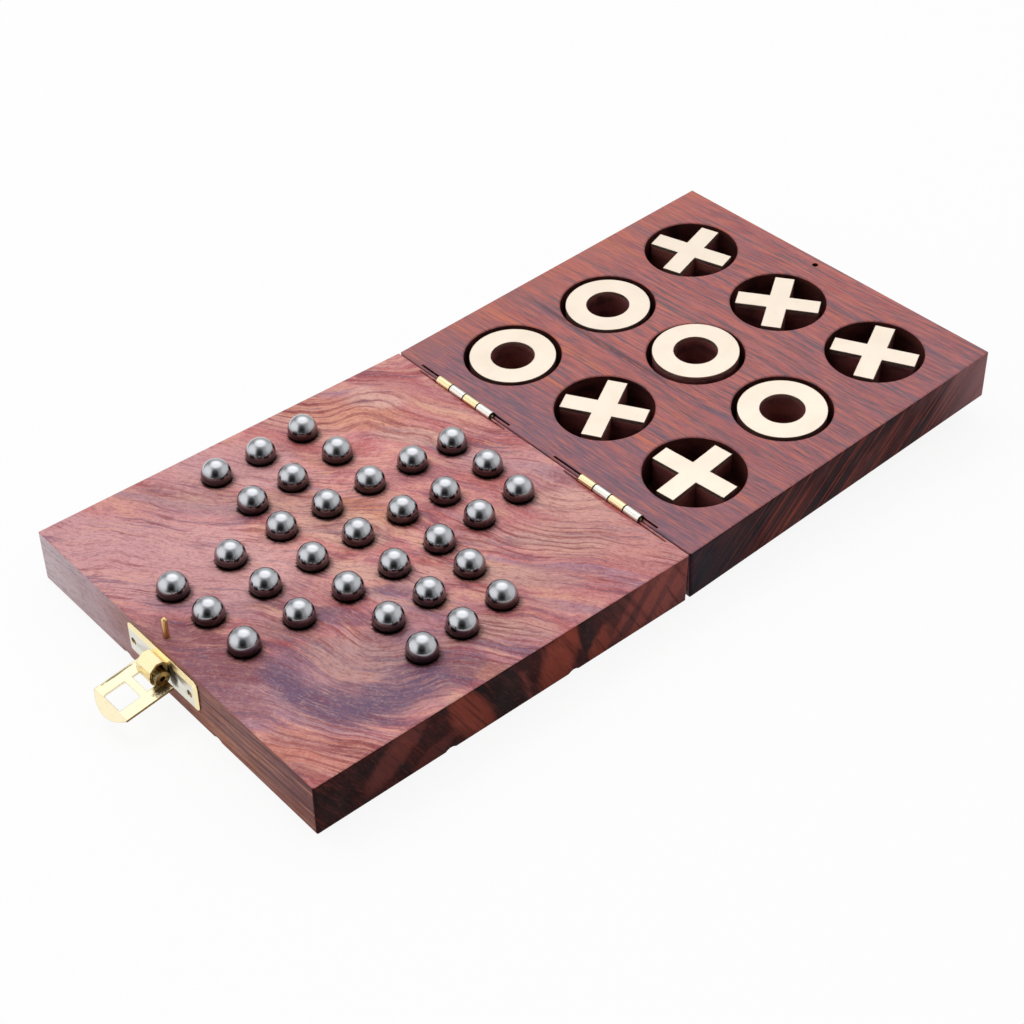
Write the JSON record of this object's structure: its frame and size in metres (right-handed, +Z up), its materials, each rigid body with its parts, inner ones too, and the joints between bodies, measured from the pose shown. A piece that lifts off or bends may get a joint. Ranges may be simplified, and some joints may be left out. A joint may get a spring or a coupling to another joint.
{
  "type": "tic-tac-toe board",
  "caption": "Folding wooden travel game: a tic-tac-toe board with crosses and rings in round recesses, hinged to a solitaire board with steel balls, with a hasp.",
  "frame": {"origin": "middle of the underside of the solitaire half, on the table", "axes": "+Z up; X runs across the hinge line, with the tic-tac-toe half at +X and the hasp at -X; Y runs along the hinge line"},
  "size_m": [0.2752, 0.125, 0.0236],
  "materials": {
    "light_rosewood": "satin",
    "dark_rosewood": "satin",
    "maroon_wood": "satin",
    "hinge_brass": "polished",
    "latch_brass": "polished",
    "sheet_brass": "satin",
    "ball_steel": "polished"
  },
  "bodies": {
    "solitaire_board": {"solitaire_half": "light_rosewood", "hinge_leaves_solitaire": "hinge_brass", "hinge_pins": "hinge_brass", "latch_plate": "latch_brass", "latch_nails": "latch_brass"},
    "tic_tac_toe_board": {"tic_tac_toe_half": "dark_rosewood", "hinge_leaves_tic_tac_toe": "hinge_brass", "catch": "latch_brass"},
    "hasp": {"hasp": "latch_brass"},
    "cross_1": {"cross_1": "maroon_wood", "cross_face_1": "sheet_brass"},
    "cross_2": {"cross_2": "maroon_wood", "cross_face_2": "sheet_brass"},
    "cross_3": {"cross_3": "maroon_wood", "cross_face_3": "sheet_brass"},
    "cross_4": {"cross_4": "maroon_wood", "cross_face_4": "sheet_brass"},
    "cross_5": {"cross_5": "maroon_wood", "cross_face_5": "sheet_brass"},
    "ring_1": {"ring_1": "maroon_wood", "ring_face_1": "sheet_brass"},
    "ring_2": {"ring_2": "maroon_wood", "ring_face_2": "sheet_brass"},
    "ring_3": {"ring_3": "maroon_wood", "ring_face_3": "sheet_brass"},
    "ring_4": {"ring_4": "maroon_wood", "ring_face_4": "sheet_brass"},
    "ball_1": {"ball_1": "ball_steel"},
    "ball_2": {"ball_2": "ball_steel"},
    "ball_3": {"ball_3": "ball_steel"},
    "ball_4": {"ball_4": "ball_steel"},
    "ball_5": {"ball_5": "ball_steel"},
    "ball_6": {"ball_6": "ball_steel"},
    "ball_7": {"ball_7": "ball_steel"},
    "ball_8": {"ball_8": "ball_steel"},
    "ball_9": {"ball_9": "ball_steel"},
    "ball_10": {"ball_10": "ball_steel"},
    "ball_11": {"ball_11": "ball_steel"},
    "ball_12": {"ball_12": "ball_steel"},
    "ball_13": {"ball_13": "ball_steel"},
    "ball_14": {"ball_14": "ball_steel"},
    "ball_15": {"ball_15": "ball_steel"},
    "ball_16": {"ball_16": "ball_steel"},
    "ball_17": {"ball_17": "ball_steel"},
    "ball_18": {"ball_18": "ball_steel"},
    "ball_19": {"ball_19": "ball_steel"},
    "ball_20": {"ball_20": "ball_steel"},
    "ball_21": {"ball_21": "ball_steel"},
    "ball_22": {"ball_22": "ball_steel"},
    "ball_23": {"ball_23": "ball_steel"},
    "ball_24": {"ball_24": "ball_steel"},
    "ball_25": {"ball_25": "ball_steel"},
    "ball_26": {"ball_26": "ball_steel"},
    "ball_27": {"ball_27": "ball_steel"},
    "ball_28": {"ball_28": "ball_steel"},
    "ball_29": {"ball_29": "ball_steel"},
    "ball_30": {"ball_30": "ball_steel"},
    "ball_31": {"ball_31": "ball_steel"},
    "ball_32": {"ball_32": "ball_steel"},
    "ball_33": {"ball_33": "ball_steel"}
  },
  "joints": [
    {"name": "fold", "type": "hinge", "parent": "solitaire_board", "child": "tic_tac_toe_board", "pos_m": [0.06365, 0, 0.01665], "axis": [0, 1, 0], "range_deg": [-153, 3.2]},
    {"name": "hasp_swing", "type": "hinge", "parent": "solitaire_board", "child": "hasp", "pos_m": [-0.06685, 0.0018, 0.0108], "axis": [0, 1, 0], "range_deg": [-75, 119]},
    {"name": "cross_1_lift", "type": "slide", "parent": "tic_tac_toe_board", "child": "cross_1", "axis": [-0.0558, 0, 0.9984], "range_m": [0, 0.02]},
    {"name": "cross_2_lift", "type": "slide", "parent": "tic_tac_toe_board", "child": "cross_2", "axis": [-0.0558, 0, 0.9984], "range_m": [0, 0.02]},
    {"name": "cross_3_lift", "type": "slide", "parent": "tic_tac_toe_board", "child": "cross_3", "axis": [-0.0558, 0, 0.9984], "range_m": [0, 0.02]},
    {"name": "cross_4_lift", "type": "slide", "parent": "tic_tac_toe_board", "child": "cross_4", "axis": [-0.0558, 0, 0.9984], "range_m": [0, 0.02]},
    {"name": "cross_5_lift", "type": "slide", "parent": "tic_tac_toe_board", "child": "cross_5", "axis": [-0.0558, 0, 0.9984], "range_m": [0, 0.02]},
    {"name": "ring_1_lift", "type": "slide", "parent": "tic_tac_toe_board", "child": "ring_1", "axis": [-0.0558, 0, 0.9984], "range_m": [0, 0.02]},
    {"name": "ring_2_lift", "type": "slide", "parent": "tic_tac_toe_board", "child": "ring_2", "axis": [-0.0558, 0, 0.9984], "range_m": [0, 0.02]},
    {"name": "ring_3_lift", "type": "slide", "parent": "tic_tac_toe_board", "child": "ring_3", "axis": [-0.0558, 0, 0.9984], "range_m": [0, 0.02]},
    {"name": "ring_4_lift", "type": "slide", "parent": "tic_tac_toe_board", "child": "ring_4", "axis": [-0.0558, 0, 0.9984], "range_m": [0, 0.02]},
    {"name": "ball_1_lift", "type": "slide", "parent": "solitaire_board", "child": "ball_1", "axis": [0, 0, 1], "range_m": [0, 0.012]},
    {"name": "ball_2_lift", "type": "slide", "parent": "solitaire_board", "child": "ball_2", "axis": [0, 0, 1], "range_m": [0, 0.012]},
    {"name": "ball_3_lift", "type": "slide", "parent": "solitaire_board", "child": "ball_3", "axis": [0, 0, 1], "range_m": [0, 0.012]},
    {"name": "ball_4_lift", "type": "slide", "parent": "solitaire_board", "child": "ball_4", "axis": [0, 0, 1], "range_m": [0, 0.012]},
    {"name": "ball_5_lift", "type": "slide", "parent": "solitaire_board", "child": "ball_5", "axis": [0, 0, 1], "range_m": [0, 0.012]},
    {"name": "ball_6_lift", "type": "slide", "parent": "solitaire_board", "child": "ball_6", "axis": [0, 0, 1], "range_m": [0, 0.012]},
    {"name": "ball_7_lift", "type": "slide", "parent": "solitaire_board", "child": "ball_7", "axis": [0, 0, 1], "range_m": [0, 0.012]},
    {"name": "ball_8_lift", "type": "slide", "parent": "solitaire_board", "child": "ball_8", "axis": [0, 0, 1], "range_m": [0, 0.012]},
    {"name": "ball_9_lift", "type": "slide", "parent": "solitaire_board", "child": "ball_9", "axis": [0, 0, 1], "range_m": [0, 0.012]},
    {"name": "ball_10_lift", "type": "slide", "parent": "solitaire_board", "child": "ball_10", "axis": [0, 0, 1], "range_m": [0, 0.012]},
    {"name": "ball_11_lift", "type": "slide", "parent": "solitaire_board", "child": "ball_11", "axis": [0, 0, 1], "range_m": [0, 0.012]},
    {"name": "ball_12_lift", "type": "slide", "parent": "solitaire_board", "child": "ball_12", "axis": [0, 0, 1], "range_m": [0, 0.012]},
    {"name": "ball_13_lift", "type": "slide", "parent": "solitaire_board", "child": "ball_13", "axis": [0, 0, 1], "range_m": [0, 0.012]},
    {"name": "ball_14_lift", "type": "slide", "parent": "solitaire_board", "child": "ball_14", "axis": [0, 0, 1], "range_m": [0, 0.012]},
    {"name": "ball_15_lift", "type": "slide", "parent": "solitaire_board", "child": "ball_15", "axis": [0, 0, 1], "range_m": [0, 0.012]},
    {"name": "ball_16_lift", "type": "slide", "parent": "solitaire_board", "child": "ball_16", "axis": [0, 0, 1], "range_m": [0, 0.012]},
    {"name": "ball_17_lift", "type": "slide", "parent": "solitaire_board", "child": "ball_17", "axis": [0, 0, 1], "range_m": [0, 0.012]},
    {"name": "ball_18_lift", "type": "slide", "parent": "solitaire_board", "child": "ball_18", "axis": [0, 0, 1], "range_m": [0, 0.012]},
    {"name": "ball_19_lift", "type": "slide", "parent": "solitaire_board", "child": "ball_19", "axis": [0, 0, 1], "range_m": [0, 0.012]},
    {"name": "ball_20_lift", "type": "slide", "parent": "solitaire_board", "child": "ball_20", "axis": [0, 0, 1], "range_m": [0, 0.012]},
    {"name": "ball_21_lift", "type": "slide", "parent": "solitaire_board", "child": "ball_21", "axis": [0, 0, 1], "range_m": [0, 0.012]},
    {"name": "ball_22_lift", "type": "slide", "parent": "solitaire_board", "child": "ball_22", "axis": [0, 0, 1], "range_m": [0, 0.012]},
    {"name": "ball_23_lift", "type": "slide", "parent": "solitaire_board", "child": "ball_23", "axis": [0, 0, 1], "range_m": [0, 0.012]},
    {"name": "ball_24_lift", "type": "slide", "parent": "solitaire_board", "child": "ball_24", "axis": [0, 0, 1], "range_m": [0, 0.012]},
    {"name": "ball_25_lift", "type": "slide", "parent": "solitaire_board", "child": "ball_25", "axis": [0, 0, 1], "range_m": [0, 0.012]},
    {"name": "ball_26_lift", "type": "slide", "parent": "solitaire_board", "child": "ball_26", "axis": [0, 0, 1], "range_m": [0, 0.012]},
    {"name": "ball_27_lift", "type": "slide", "parent": "solitaire_board", "child": "ball_27", "axis": [0, 0, 1], "range_m": [0, 0.012]},
    {"name": "ball_28_lift", "type": "slide", "parent": "solitaire_board", "child": "ball_28", "axis": [0, 0, 1], "range_m": [0, 0.012]},
    {"name": "ball_29_lift", "type": "slide", "parent": "solitaire_board", "child": "ball_29", "axis": [0, 0, 1], "range_m": [0, 0.012]},
    {"name": "ball_30_lift", "type": "slide", "parent": "solitaire_board", "child": "ball_30", "axis": [0, 0, 1], "range_m": [0, 0.012]},
    {"name": "ball_31_lift", "type": "slide", "parent": "solitaire_board", "child": "ball_31", "axis": [0, 0, 1], "range_m": [0, 0.012]},
    {"name": "ball_32_lift", "type": "slide", "parent": "solitaire_board", "child": "ball_32", "axis": [0, 0, 1], "range_m": [0, 0.012]},
    {"name": "ball_33_lift", "type": "slide", "parent": "solitaire_board", "child": "ball_33", "axis": [0, 0, 1], "range_m": [0, 0.012]}
  ]
}
